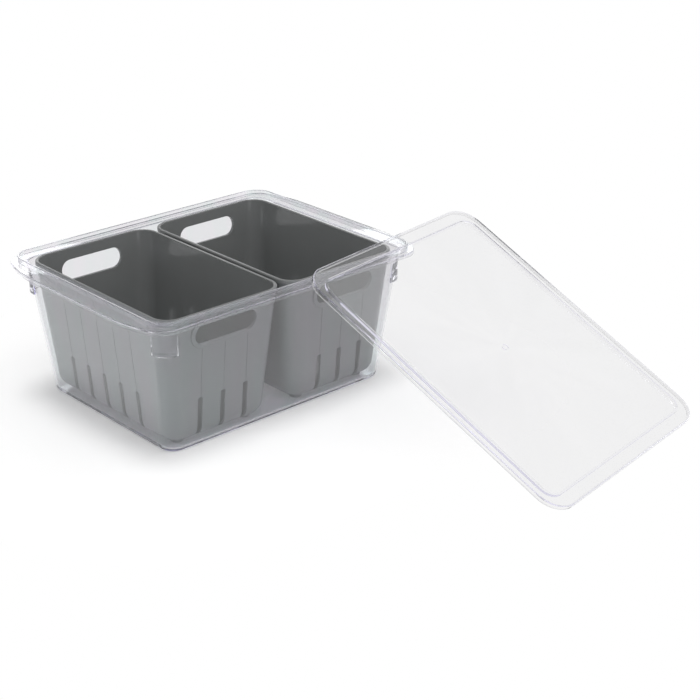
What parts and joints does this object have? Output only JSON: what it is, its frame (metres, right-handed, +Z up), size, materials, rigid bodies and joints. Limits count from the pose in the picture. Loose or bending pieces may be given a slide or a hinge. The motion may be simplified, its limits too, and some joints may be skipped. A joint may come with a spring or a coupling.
{
  "type": "fridge storage bin with baskets and lid",
  "caption": "Clear rectangular storage bin with a flanged rim, holding slotted grey baskets side by side, and a clear lid leaning on one corner.",
  "frame": {"origin": "centre of the underside of the bin's floor, on the surface it stands on", "axes": "+X along the long side of the bin, from the left basket to the right one; +Y across the bin, away from the leaning lid; +Z up"},
  "size_m": [0.4438, 0.5127, 0.1463],
  "materials": {
    "clear_bin": "clear polystyrene, polished mould, faint violet tint at the edges",
    "grey_basket": "satin polypropylene, fine spark-eroded mould surface",
    "clear_lid": "clear polystyrene, polished mould, faint violet tint at the edges"
  },
  "bodies": {
    "bin": {"bin": "clear_bin"},
    "basket_left": {"basket_left": "grey_basket"},
    "basket_right": {"basket_right": "grey_basket"},
    "lid": {"lid": "clear_lid"}
  },
  "joints": [
    {"name": "basket_left_lift", "type": "slide", "parent": "bin", "child": "basket_left", "axis": [0, 0, 1], "range_m": [0, 0.15]},
    {"name": "basket_right_lift", "type": "slide", "parent": "bin", "child": "basket_right", "axis": [0, 0, 1], "range_m": [0, 0.15]},
    {"name": "lid_lift", "type": "slide", "parent": "bin", "child": "lid", "axis": [0, 0, 1], "range_m": [0, 0.15]}
  ]
}
